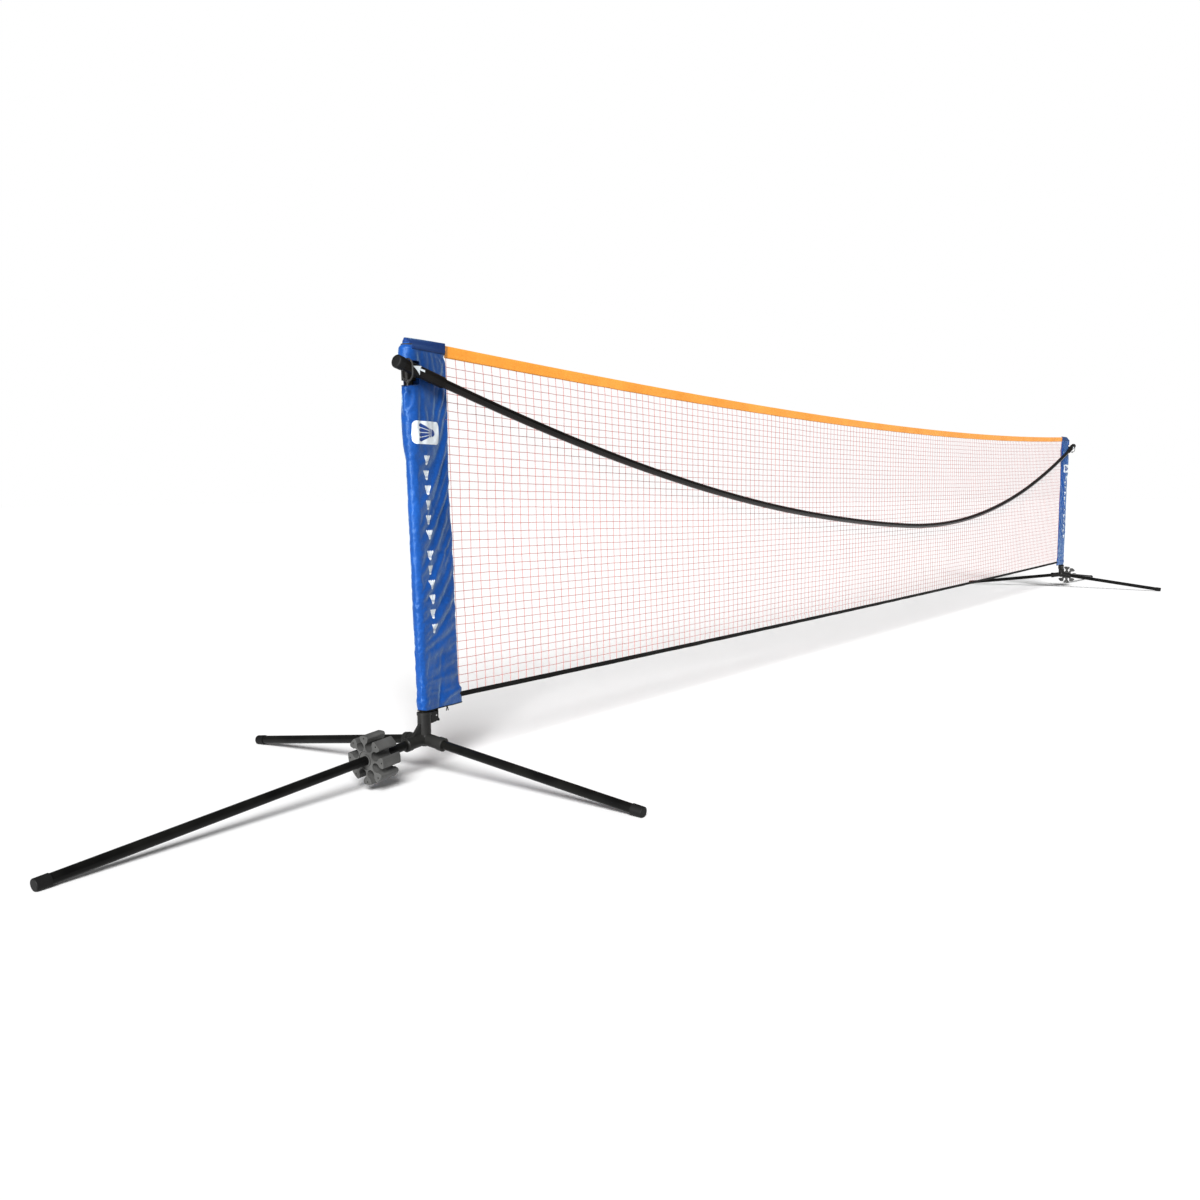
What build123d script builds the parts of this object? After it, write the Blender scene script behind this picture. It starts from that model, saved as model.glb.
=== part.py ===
from build123d import *
import os
from cmath import exp as turn_by, phase
from math import cos, radians, sin, sqrt, tan

# Portable badminton net: two three-legged bases, two posts in fabric sleeves, a net between them
# and a flexible rod, bowed downward, that pushes the posts apart and keeps the net tight.
# Millimetres and degrees. X runs along the net, Z is up, the front of the net faces -Y.
# The origin is on the floor, midway between the posts. LEFT is at -X, RIGHT at +X.

# ---- driving dimensions ----
post_spacing = 5200.0          # between the two base hubs
net_top = 860.0                # top of the sleeves
post_lean = 1.8                # each post leans outward, within the play in its socket
hub_height = 76.0              # where the leg axes meet, above the floor
side_slope = 7.29              # front and back legs, down from level
outer_slope = 4.81             # outer leg, down from level

tube_r = 9.0                   # legs and posts are the same steel tube
tube_wall = 1.2
slip = 0.05                    # running clearance of a tube in a plastic socket

# base hub
hub_core_r = 16.0
arm_r = 12.5
arm_length = 54.0
arm_bottom = 18.0              # where a leg tube's inner end stops
collar_r = 13.8
collar_width = 13.0
socket_r = 13.5
socket_bore_r = 10.05          # wider than the post: the play lets the post lean
socket_seat = 88.0
socket_top = 130.0
rim_r = 14.6
rim_width = 6.0
gusset_reach = 34.0
gusset_rise = 32.0
gusset_width = 7.0

# foot caps
foot_r = 10.2
foot_length = 24.0
foot_end = 4.0
foot_round = 2.0
sole_dip = 0.8                 # the round foot is cut flat this far up, so it stands on a sole

# release lever, in the hub's own (distance from the socket's axis, height over the floor)
lever_pivot = (26.0, 120.0)
lever_width = 12.0
knuckle_r = 4.0
pin_r = 1.5
cheek_width = 3.0
cheek_gap = 0.5
plate_near, plate_far = 31.0, 35.0
plate_low, plate_high = 107.0, 131.0
lip_reach = 38.0
nose_low, nose_high = 126.5, 130.0
nose_tip = 10.6
nose_width = 6.0

# storage clip: pockets for eight tubes round the outer leg
clip_distance = 136.0
clip_length = 45.0
clip_r = 47.5
pocket_count = 8
pocket_ring_r = 28.5
pocket_r = 9.3
pocket_mouth = 12.5
head_corner_r = 4.0
head_hole_r = 1.8
head_hole_ring_r = 42.5
face_recess_r = 18.0
face_recess_inner_r = 12.0
face_recess_depth = 2.0

# post top and sleeve
post_top = 838.0
post_foot_gap = 0.3
post_cap_r = 11.0
post_cap_head = 4.0
post_cap_plug = 16.0
sleeve_bottom = 133.0
sleeve_pocket_r = 15.5
sleeve_edge_r = 1.5
sleeve_reach = 106.0           # from the post's axis to the edge that the net is sewn to
sleeve_wall = 0.9
window_low, window_high = 773.0, 817.0
window_reach = 17.0
window_back = 4.0             # how near the post's axis the outer cut-out comes, behind the post

# bow rod
rod_r = 9.0
rod_bore_r = 7.4
rod_offset = 28.0              # in front of the posts' plane
crossing_height = 795.0        # where the rod passes the posts
rod_tail = 52.0                # rod beyond the post
rod_straight = 78.0            # straight stretch from the post inward
section_turns = (4.0, 4.5, 3.0, 8.0, 6.5, 4.0)   # how much each section bends
spigot_r = 7.2
spigot_bore_r = 2.5
spigot_length = 80.0
shock_cord_r = 2.0

# rod holder
holder_r = 11.5
holder_out = 54.0
holder_in = 68.0
holder_collar_r = 13.6
holder_collar_height = 30.0
holder_web = 16.0
end_cap_r = 13.0
end_cap_out = 62.0
end_cap_in = 46.0
loop_distance = 31.0
loop_cord_r = 1.5
loop_slack = 0.8
loop_drop = 14.0
loop_knot_r = 3.6
loop_tail = 9.0

# net
tape_height = 24.0
tape_thickness = 5.0
tape_drop = 4.0               # from the sleeve's top to the tape's top edge
top_sag = 48.0
foot_tape_height = 10.5
foot_tape_thickness = 4.5
foot_tape_centre = 150.0
foot_sag = 7.0
seam_gap = 0.5                 # between two pieces that are sewn together
line_cord_r = 1.6
mesh_thickness = 1.0

LEFT, RIGHT = -1, 1
SIDE_NAMES = {LEFT: "left", RIGHT: "right"}


# ---- places worked out from the dimensions ----
socket_middle = (socket_seat + socket_top) / 2
half_spacing = post_spacing / 2


def hub_centre(side):
    return Vector(side * half_spacing, 0, hub_height)


def post_axis(side):
    return Vector(side * sin(radians(post_lean)), 0, cos(radians(post_lean)))


def post_x(side, height):
    """X of the post's axis at a height."""
    return side * (half_spacing + (height - socket_middle) * tan(radians(post_lean)))


def post_plane(side, height):
    """Square to the leaning post, local X pointing at the other post."""
    return Plane(
        origin=(post_x(side, height), 0, height),
        x_dir=(-side * cos(radians(post_lean)), 0, sin(radians(post_lean))),
        z_dir=post_axis(side),
    )


def level_plane(side, height):
    """Level, centred on the post's axis, local X pointing at the other post."""
    return Plane(origin=(post_x(side, height), 0, height), x_dir=(-side, 0, 0), z_dir=(0, 0, 1))


def socket_plane(side, height):
    """Level, centred on the hub's socket, local X pointing at the other post."""
    return Plane(origin=(side * half_spacing, 0, height), x_dir=(-side, 0, 0), z_dir=(0, 0, 1))


def lever_plane(side):
    """Upright through the socket's axis: local X inward, local Y is the height over the floor."""
    return Plane(origin=(side * half_spacing, 0, 0), x_dir=(-side, 0, 0), z_dir=(0, side, 0))


def leg_axis(side, leg):
    outward = {"front_leg": (0, -1), "back_leg": (0, 1), "outer_leg": (side, 0)}[leg]
    slope = radians(leg_slope(leg))
    return Vector(outward[0] * cos(slope), outward[1] * cos(slope), -sin(slope))


def leg_slope(leg):
    return outer_slope if leg == "outer_leg" else side_slope


def leg_plane(side, leg, distance=0.0):
    """Square to a leg's axis at a distance from the hub's centre."""
    axis = leg_axis(side, leg)
    across = (0, 1, 0) if leg == "outer_leg" else (1, 0, 0)
    return Plane(origin=hub_centre(side) + axis * distance, x_dir=across, z_dir=axis)


def leg_tip(leg):
    """Distance from the hub's centre to the foot's end, so that the foot stands on the floor."""
    slope = radians(leg_slope(leg))
    lift = hub_height + sole_dip - foot_round - (foot_r - foot_round) * cos(slope)
    return foot_round + lift / sin(slope)


LEGS = ("front_leg", "back_leg", "outer_leg")


# ---- the rod's curve: six sections, each an arc, between two straight ends ----
def heading_step(start, turn, length):
    """Where an arc of this length ends, as a complex x + iz, starting along the heading."""
    return turn_by(1j * start) * (turn_by(1j * turn) - 1) / (1j * turn) * length


def bow_shape():
    """Section length and entry angle that make the rod meet both posts at crossing_height."""
    turns = [radians(t) for t in section_turns]
    fixed = rod_straight + rod_straight * turn_by(1j * sum(turns))
    per_length = 0
    heading = 0.0
    for index, turn in enumerate(turns):
        unit = heading_step(heading, turn, 1.0)
        per_length += unit
        if index in (0, len(turns) - 1):
            fixed -= unit * (rod_tail + rod_straight)
        heading += turn
    span = 2 * abs(post_x(LEFT, crossing_height))
    a = abs(per_length) ** 2
    b = 2 * (per_length.conjugate() * fixed).real
    c = abs(fixed) ** 2 - span ** 2
    length = (-b + sqrt(b * b - 4 * a * c)) / (2 * a)
    return length, phase(per_length * length + fixed)


section_length, chord_angle = bow_shape()
entry_heading = -chord_angle


def rod_point(x_and_z):
    return Vector(x_and_z.real, -rod_offset, x_and_z.imag)


def rod_runs():
    """Each section's runs, as (start, middle, end), and its end heading; a middle of None is a straight run."""
    sections = []
    place = complex(post_x(LEFT, crossing_height), crossing_height)
    heading = entry_heading
    place -= turn_by(1j * heading) * rod_tail
    straight = rod_tail + rod_straight
    for index, turn in enumerate(radians(t) for t in section_turns):
        runs = []
        first, last = index == 0, index == len(section_turns) - 1
        if first:
            end = place + turn_by(1j * heading) * straight
            runs.append((place, None, end))
            place = end
        arc_length = section_length - (straight if first or last else 0)
        middle = place + heading_step(heading, turn / 2, arc_length / 2)
        end = place + heading_step(heading, turn, arc_length)
        runs.append((place, middle, end))
        place = end
        heading += turn
        if last:
            end = place + turn_by(1j * heading) * straight
            runs.append((place, None, end))
            place = end
        sections.append((runs, heading))
    return sections


rod_sections = rod_runs()
exit_heading = rod_sections[-1][1]


def draw_run(start, middle, end):
    """One run of the rod's centre line, inside a BuildLine."""
    if middle is None:
        Line(rod_point(start), rod_point(end))
    else:
        ThreePointArc(rod_point(start), rod_point(middle), rod_point(end))


def rod_frame(side, distance=0.0):
    """Square to the rod's straight end where it passes the post; local Z points at the net's middle."""
    heading = entry_heading if side == LEFT else exit_heading
    along = Vector(cos(heading), 0, sin(heading)) * (-side)
    crossing = Vector(post_x(side, crossing_height), -rod_offset, crossing_height)
    return Plane(origin=crossing + along * distance, x_dir=(0, -1, 0), z_dir=along)


# ---- the net's edges ----
def edge_x(side, height):
    """X where the net, a tape or a cord starts at a sleeve's sewn edge, at a height."""
    return post_x(side, height) - side * (sleeve_reach + seam_gap)


def tape_arc(end_height, sag):
    """A sagging line from sleeve edge to sleeve edge, inside a BuildLine."""
    left = edge_x(LEFT, end_height)
    return ThreePointArc((left, 0, end_height), (0, 0, end_height - sag), (-left, 0, end_height))


top_tape_centre = net_top - tape_drop - tape_height / 2


# ---- bases ----
def make_hub(side):
    core = socket_plane(side, hub_height)
    with BuildPart() as hub:
        with Locations(core):
            Sphere(hub_core_r)
        with BuildSketch(core):
            Circle(socket_r)
        extrude(amount=socket_top - hub_height)
        with BuildSketch(socket_plane(side, socket_top - rim_width)):
            Circle(rim_r)
        extrude(amount=rim_width)
        chamfer(hub.faces().sort_by(Axis.Z)[-1].edges().sort_by(SortBy.LENGTH)[-1], 1.0)
        for leg in LEGS:
            with BuildSketch(leg_plane(side, leg)):
                Circle(arm_r)
            extrude(amount=arm_length)
            with BuildSketch(leg_plane(side, leg, arm_length - collar_width)):
                Circle(collar_r)
            extrude(amount=collar_width)
            rim = hub.faces().filter_by(GeomType.PLANE).sort_by_distance(
                leg_plane(side, leg, arm_length).origin)[0]
            chamfer(rim.edges(), 1.5)
        # rib between the post socket and the outer arm
        with BuildSketch(lever_plane(side)):
            with BuildLine():
                Polyline(
                    (0, hub_height),
                    (-gusset_reach, hub_height),
                    (-gusset_reach, hub_height + arm_r - 3),
                    (-socket_r, hub_height + gusset_rise),
                    (0, hub_height + gusset_rise),
                    close=True,
                )
            make_face()
        extrude(amount=gusset_width / 2, both=True)
        # two cheeks that carry the lever's pin
        inner_face = lever_width / 2 + cheek_gap
        for face in (inner_face, -inner_face - cheek_width):
            with BuildSketch(lever_plane(side).offset(face)):
                with BuildLine():
                    Polyline(
                        (socket_bore_r + 0.5, plate_low - 1),
                        (lever_pivot[0], plate_low + 1),
                        (lever_pivot[0] + knuckle_r, lever_pivot[1] - 2 * knuckle_r),
                        (lever_pivot[0] + knuckle_r, lever_pivot[1] + knuckle_r),
                        (lever_pivot[0], lever_pivot[1] + 2 * knuckle_r),
                        (socket_bore_r + 0.5, lever_pivot[1] + 2 * knuckle_r),
                        close=True,
                    )
                make_face()
            extrude(amount=cheek_width)
        with BuildSketch(lever_plane(side).offset(-inner_face - cheek_width)):
            with Locations(lever_pivot):
                Circle(pin_r)
        extrude(amount=2 * (inner_face + cheek_width), mode=Mode.SUBTRACT)
        # bores for the post, the legs and the lever's nose
        with BuildSketch(socket_plane(side, socket_seat)):
            Circle(socket_bore_r)
        extrude(amount=socket_top - socket_seat, mode=Mode.SUBTRACT)
        with BuildSketch(socket_plane(side, nose_low - 2.0)):
            with Locations((socket_r, 0)):
                Rectangle(2 * (socket_r - socket_bore_r) + 1, nose_width + 2)
        extrude(amount=socket_top - nose_low + 2.0, mode=Mode.SUBTRACT)
        for leg in LEGS:
            with BuildSketch(leg_plane(side, leg, arm_bottom)):
                Circle(tube_r + slip)
            extrude(amount=arm_length - arm_bottom, mode=Mode.SUBTRACT)
    return hub


def make_leg(side, leg):
    with BuildPart() as tube:
        with BuildSketch(leg_plane(side, leg, arm_bottom)):
            Circle(tube_r)
            Circle(tube_r - tube_wall, mode=Mode.SUBTRACT)
        extrude(amount=leg_tip(leg) - foot_end - arm_bottom)
    return tube


def make_foot_cap(side, leg):
    tip = leg_tip(leg)
    with BuildPart() as cap:
        with BuildSketch(leg_plane(side, leg, tip - foot_length)):
            Circle(foot_r)
        extrude(amount=foot_length)
        end = cap.faces().filter_by(GeomType.PLANE).sort_by_distance(leg_plane(side, leg, tip).origin)[0]
        fillet(end.edges(), foot_round)
        with BuildSketch(leg_plane(side, leg, tip - foot_length)):
            Circle(tube_r)
        extrude(amount=foot_length - foot_end, mode=Mode.SUBTRACT)
        split(bisect_by=Plane.XY, keep=Keep.TOP)
    return cap


def make_lever(side):
    """Squeeze lever: pushing the lip in lifts the nose away from the post."""
    upright = lever_plane(side)
    with BuildPart() as lever:
        with BuildSketch(upright.offset(-lever_width / 2)):
            with BuildLine():
                Polyline(
                    (plate_near, plate_low + 2),
                    (plate_near + 2, plate_low),
                    (lip_reach, plate_low),
                    (lip_reach, plate_low + 3),
                    (plate_far, plate_low + 7),
                    (plate_far, plate_high - 1),
                    (plate_far - 1, plate_high),
                    (plate_near, plate_high),
                    close=True,
                )
            make_face()
            with Locations(lever_pivot):
                Circle(knuckle_r)
            with Locations(((lever_pivot[0] + plate_near + 1) / 2, lever_pivot[1])):
                Rectangle(plate_near + 1 - lever_pivot[0], 2 * knuckle_r)
        extrude(amount=lever_width)
        with BuildSketch(upright.offset(-nose_width / 2)):
            with Locations(((nose_tip + plate_near + 1) / 2, (nose_low + nose_high) / 2)):
                Rectangle(plate_near + 1 - nose_tip, nose_high - nose_low)
        extrude(amount=nose_width)
        with BuildSketch(upright.offset(-lever_width / 2)):
            with Locations(lever_pivot):
                Circle(pin_r + slip)
        extrude(amount=lever_width, mode=Mode.SUBTRACT)
    return lever


def make_lever_pin(side):
    reach = lever_width / 2 + cheek_gap + cheek_width
    with BuildPart() as pin:
        with BuildSketch(lever_plane(side).offset(-reach)):
            with Locations(lever_pivot):
                Circle(pin_r)
        extrude(amount=2 * reach)
    return pin


def make_storage_clip(side):
    """A star whose arms have T-shaped heads; a loose tube snaps into each pocket between arms."""
    half_step = 180.0 / pocket_count
    face = leg_plane(side, "outer_leg", clip_distance - clip_length / 2)
    with BuildPart() as clip:
        with BuildSketch(face) as star:
            Circle(clip_r)
            with PolarLocations(pocket_ring_r, pocket_count, half_step):
                Circle(pocket_r, mode=Mode.SUBTRACT)
            with PolarLocations(pocket_ring_r + clip_r / 2, pocket_count, half_step):
                Rectangle(clip_r, pocket_mouth, mode=Mode.SUBTRACT)
            head_corners = star.vertices().filter_by(lambda v: abs(v.center().length - clip_r) < 0.1)
            fillet(head_corners, head_corner_r)
            with PolarLocations(head_hole_ring_r, pocket_count):
                Circle(head_hole_r, mode=Mode.SUBTRACT)
            Circle(tube_r + slip, mode=Mode.SUBTRACT)
        extrude(amount=clip_length)
        for distance in (0.0, clip_length - face_recess_depth):
            with BuildSketch(face.offset(distance)):
                Circle(face_recess_r)
                Circle(face_recess_inner_r, mode=Mode.SUBTRACT)
            extrude(amount=face_recess_depth, mode=Mode.SUBTRACT)
    return clip


# ---- posts ----
def make_post(side):
    foot = socket_seat + post_foot_gap + tube_r * sin(radians(post_lean))
    with BuildPart() as post:
        with BuildSketch(post_plane(side, foot)):
            Circle(tube_r)
            Circle(tube_r - tube_wall, mode=Mode.SUBTRACT)
        extrude(amount=(post_top - foot) / cos(radians(post_lean)))
    return post


def make_post_cap(side):
    top = post_plane(side, post_top)
    with BuildPart() as cap:
        with BuildSketch(top):
            Circle(post_cap_r)
        extrude(amount=post_cap_head)
        fillet(cap.faces().sort_by(Axis.Z)[-1].edges(), 1.5)
        with BuildSketch(top.offset(-post_cap_plug)):
            Circle(tube_r - tube_wall)
        extrude(amount=post_cap_plug)
    return cap


def make_rod_holder(side):
    """Collar round the post, web, and the tube that the rod's end goes into."""
    collar = post_plane(side, crossing_height).offset(-holder_collar_height / 2)
    with BuildPart() as holder:
        with BuildSketch(collar):
            Circle(holder_collar_r)
        extrude(amount=holder_collar_height)
        with BuildSketch(rod_frame(side, -holder_out)):
            Circle(holder_r)
        extrude(amount=holder_out + holder_in)
        inner_end = holder.faces().filter_by(GeomType.PLANE).sort_by_distance(
            rod_frame(side, holder_in).origin)[0]
        chamfer(inner_end.edges(), 1.0)
        with BuildSketch(post_plane(side, crossing_height)):
            with Locations((0, side * rod_offset / 2)):
                Rectangle(holder_web, rod_offset)
        extrude(amount=(holder_collar_height - 8) / 2, both=True)
        with BuildSketch(collar):
            Circle(tube_r)
        extrude(amount=holder_collar_height, mode=Mode.SUBTRACT)
        with BuildSketch(rod_frame(side, -holder_out)):
            Circle(rod_r)
        extrude(amount=holder_out + holder_in, mode=Mode.SUBTRACT)
    return holder


def make_rod_end_cap(side):
    with BuildPart() as cap:
        with BuildSketch(rod_frame(side, -end_cap_out)):
            Circle(end_cap_r)
        extrude(amount=end_cap_out - end_cap_in)
        outer_end = cap.faces().filter_by(GeomType.PLANE).sort_by_distance(
            rod_frame(side, -end_cap_out).origin)[0]
        fillet(outer_end.edges(), 4.0)
        with BuildSketch(rod_frame(side, -holder_out)):
            Circle(holder_r)
        extrude(amount=holder_out - end_cap_in, mode=Mode.SUBTRACT)
    return cap


def make_keeper_loop(side):
    """Thin elastic cord tied round the holder's outer end, with its knot and tail underneath."""
    centre = rod_frame(side, -loop_distance).origin
    upright = Plane(origin=centre, x_dir=(0, -1, 0), z_dir=(-1, 0, 0))
    bend_r = holder_r + loop_cord_r + loop_slack
    with BuildPart() as loop:
        with BuildLine(upright) as path:
            over = ThreePointArc((-bend_r, 0), (0, bend_r), (bend_r, 0))
            front = Line(over @ 1, (bend_r, -loop_drop))
            under = ThreePointArc(front @ 1, (0, -loop_drop - bend_r), (-bend_r, -loop_drop))
            Line(under @ 1, over @ 0)
        with BuildSketch(Plane(origin=path.wires()[0] @ 0, z_dir=path.wires()[0] % 0)):
            Circle(loop_cord_r)
        sweep(path=path.wires()[0])
        knot = upright.from_local_coords(Vector(0, -loop_drop - bend_r - 1.0, 0))
        with Locations(knot):
            Sphere(loop_knot_r)
        with BuildSketch(Plane(origin=knot, z_dir=(side, 0, 0.35))):
            Circle(loop_cord_r)
        extrude(amount=loop_knot_r + loop_tail)
    return loop


# ---- sleeves ----
def sleeve_outline(pocket_r, edge_r):
    """Teardrop round the post, drawn in a sketch, flat towards the sewn edge."""
    with BuildSketch() as outline:
        Circle(pocket_r)
        with Locations((sleeve_reach - sleeve_edge_r, 0)):
            Circle(edge_r)
        make_hull()
    return outline.sketch


def make_sleeve(side):
    outer = sleeve_outline(sleeve_pocket_r, sleeve_edge_r)
    inner = sleeve_outline(sleeve_pocket_r - sleeve_wall, sleeve_edge_r - sleeve_wall)
    along = post_axis(side)
    height = (net_top - sleeve_bottom) / cos(radians(post_lean))
    with BuildPart() as sleeve:
        with BuildSketch(level_plane(side, sleeve_bottom)):
            add(outer)
        extrude(amount=height, dir=along)
        with BuildSketch(level_plane(side, sleeve_bottom)):
            add(inner)
        extrude(amount=height - sleeve_wall, dir=along, mode=Mode.SUBTRACT)
        # window for the rod holder: open in front, and cut away on the outer side
        with BuildSketch(level_plane(side, window_low)):
            with Locations((-1.0, side * window_reach)):
                Rectangle(2 * window_reach, 2 * window_reach)
            with Locations((-window_back - window_reach / 2, 0)):
                Rectangle(window_reach, 2 * window_reach)
        extrude(amount=(window_high - window_low) / cos(radians(post_lean)), dir=along, mode=Mode.SUBTRACT)
        # the two line cords leave through small holes in the sewn edge
        for centre in (top_tape_centre, foot_tape_centre):
            with BuildSketch(Plane(origin=(edge_x(side, centre) - side * 5, 0, centre), z_dir=(side, 0, 0))):
                Circle(line_cord_r + 0.4)
            extrude(amount=20, mode=Mode.SUBTRACT)
    return sleeve


# ---- rod ----
def make_rod_section(runs):
    with BuildPart() as section:
        with BuildLine() as path:
            for run in runs:
                draw_run(*run)
        centre_line = path.wires()[0]
        with BuildSketch(Plane(origin=centre_line @ 0, z_dir=centre_line % 0)):
            Circle(rod_r)
            Circle(rod_bore_r, mode=Mode.SUBTRACT)
        sweep(path=centre_line)
    return section


def make_spigot(joint, heading):
    """Short inner tube that joins two sections."""
    along = Vector(cos(heading), 0, sin(heading))
    with BuildPart() as spigot:
        with BuildSketch(Plane(origin=rod_point(joint) - along * spigot_length / 2, z_dir=along)):
            Circle(spigot_r)
            Circle(spigot_bore_r, mode=Mode.SUBTRACT)
        extrude(amount=spigot_length)
    return spigot


def make_shock_cord():
    """Elastic cord through the whole rod, which keeps the sections together when it is folded."""
    with BuildPart() as cord:
        with BuildLine() as path:
            for runs, _ in rod_sections:
                for run in runs:
                    draw_run(*run)
        centre_line = path.wires()[0]
        with BuildSketch(Plane(origin=centre_line @ 0, z_dir=centre_line % 0)):
            Circle(shock_cord_r)
        sweep(path=centre_line)
    return cord


# ---- net ----
def make_tape(end_height, sag, height, thickness):
    """A flat fabric tube that sags along an arc, hollow for its cord."""
    with BuildPart() as tape:
        with BuildLine() as path:
            tape_arc(end_height, sag)
        centre_line = path.wires()[0]
        with BuildSketch(Plane(origin=centre_line @ 0, x_dir=(0, 1, 0), z_dir=centre_line % 0)):
            SlotOverall(height, thickness, rotation=90)
            Circle(line_cord_r, mode=Mode.SUBTRACT)
        sweep(path=centre_line)
    return tape


def make_line_cord(end_height, sag):
    """Cord inside a tape, straight on through the sleeves and looped round both posts."""
    with BuildPart() as cord:
        with BuildLine() as path:
            arc = tape_arc(end_height, sag)
            slope = arc % 0
            left_ring = Vector(post_x(LEFT, end_height) + tube_r + line_cord_r, 0, end_height)
            left_ring += Vector(0, 0, 1) * (left_ring.X - (arc @ 0).X) * slope.Z / slope.X
            right_ring = Vector(-left_ring.X, 0, left_ring.Z)
            Line(left_ring, arc @ 0)
            Line(arc @ 1, right_ring)
        centre_line = path.wires()[0]
        with BuildSketch(Plane(origin=centre_line @ 0, z_dir=centre_line % 0)):
            Circle(line_cord_r)
        sweep(path=centre_line)
        for side, ring in ((LEFT, left_ring), (RIGHT, right_ring)):
            with Locations(post_plane(side, ring.Z)):
                Torus(tube_r + line_cord_r, line_cord_r)
        for side, ring in ((LEFT, left_ring), (RIGHT, right_ring)):
            with BuildSketch(post_plane(side, ring.Z - 2 * line_cord_r)):
                Circle(tube_r)
            extrude(amount=4 * line_cord_r, mode=Mode.SUBTRACT)
    return cord


def make_net_mesh():
    """Thin slab that stands for the knotted mesh between the two tapes and the two sleeves."""
    top = top_tape_centre - tape_height / 2 - seam_gap
    bottom = foot_tape_centre + foot_tape_height / 2 + seam_gap
    with BuildPart() as mesh:
        with BuildSketch(Plane.XZ):
            with BuildLine():
                upper = ThreePointArc((edge_x(LEFT, top), top), (0, top - top_sag), (edge_x(RIGHT, top), top))
                lower = ThreePointArc(
                    (edge_x(LEFT, bottom), bottom), (0, bottom - foot_sag), (edge_x(RIGHT, bottom), bottom))
                Line(upper @ 0, lower @ 0)
                Line(upper @ 1, lower @ 1)
            make_face()
        extrude(amount=mesh_thickness / 2, both=True)
    return mesh


# ---- build every piece and write it ----
os.makedirs("parts", exist_ok=True)


def write(piece, name):
    piece.part.label = name
    export_step(piece.part, f"parts/{name}.step")


for side, side_name in SIDE_NAMES.items():
    write(make_hub(side), f"{side_name}_base_hub")
    for leg in LEGS:
        write(make_leg(side, leg), f"{side_name}_{leg}")
        write(make_foot_cap(side, leg), f"{side_name}_{leg}_cap")
    write(make_lever(side), f"{side_name}_release_lever")
    write(make_lever_pin(side), f"{side_name}_lever_pin")
    write(make_storage_clip(side), f"{side_name}_storage_clip")
    write(make_post(side), f"{side_name}_post")
    write(make_post_cap(side), f"{side_name}_post_cap")
    write(make_rod_holder(side), f"{side_name}_rod_holder")
    write(make_rod_end_cap(side), f"{side_name}_rod_end_cap")
    write(make_keeper_loop(side), f"{side_name}_keeper_loop")
    write(make_sleeve(side), f"{side_name}_sleeve")

for number, (runs, end_heading) in enumerate(rod_sections, start=1):
    write(make_rod_section(runs), f"rod_section_{number}")
    if number < len(rod_sections):
        write(make_spigot(runs[-1][2], end_heading), f"rod_spigot_{number}")
write(make_shock_cord(), "rod_shock_cord")

write(make_net_mesh(), "net_mesh")
write(make_tape(top_tape_centre, top_sag, tape_height, tape_thickness), "top_tape")
write(make_tape(foot_tape_centre, foot_sag, foot_tape_height, foot_tape_thickness), "bottom_tape")
write(make_line_cord(top_tape_centre, top_sag), "top_cord")
write(make_line_cord(foot_tape_centre, foot_sag), "bottom_cord")

print(f"rod section length {section_length:.1f}, entry heading {entry_heading:.4f} rad")
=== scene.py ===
import functools
import math
import random

import bpy
import bmesh
from mathutils import Matrix, Vector, noise
from mathutils.bvhtree import BVHTree


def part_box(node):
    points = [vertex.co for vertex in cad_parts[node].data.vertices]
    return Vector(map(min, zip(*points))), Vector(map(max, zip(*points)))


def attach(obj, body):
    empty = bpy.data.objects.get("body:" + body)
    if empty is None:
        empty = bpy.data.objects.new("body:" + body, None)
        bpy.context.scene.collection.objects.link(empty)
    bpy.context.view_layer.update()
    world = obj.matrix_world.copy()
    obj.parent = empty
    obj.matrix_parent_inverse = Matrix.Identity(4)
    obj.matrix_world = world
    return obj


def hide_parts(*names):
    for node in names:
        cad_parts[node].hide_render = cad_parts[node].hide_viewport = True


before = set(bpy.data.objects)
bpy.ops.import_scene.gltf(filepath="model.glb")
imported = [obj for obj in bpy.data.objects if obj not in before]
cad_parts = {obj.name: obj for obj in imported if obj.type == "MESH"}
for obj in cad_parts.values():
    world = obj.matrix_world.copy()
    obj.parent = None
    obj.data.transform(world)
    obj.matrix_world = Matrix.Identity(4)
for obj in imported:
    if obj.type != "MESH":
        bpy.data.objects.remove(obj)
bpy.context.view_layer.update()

# A portable badminton net: two bases, two sleeved posts, a strand net between tapes and a bowed rod.
# Metres, in the row frame: X along the net, -Y is the front, Z up from the floor.

box_of = functools.cache(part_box)
SIDES = {"left": -1, "right": 1}

# ---- sizes that the fabric and the net are made to ----
POST_LEAN = math.radians(1.8)
SLEEVE_REACH = 0.106       # post axis to the sewn edge
SEAM_GAP = 0.0005
TAPE_HEIGHT = 0.024
TOP_SAG = 0.048
FOOT_TAPE_HEIGHT = 0.0105
FOOT_SAG = 0.007
MESH_ROWS = 39
SEAM_TUCK = 0.009          # how far the strands run on into the sleeves' seams
TAPE_TUCK = 0.003          # the same into the tapes
MESH_CELL_WIDTH = 0.0275
STRAND_R = 0.0006
KNOT_R = 0.00125

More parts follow.
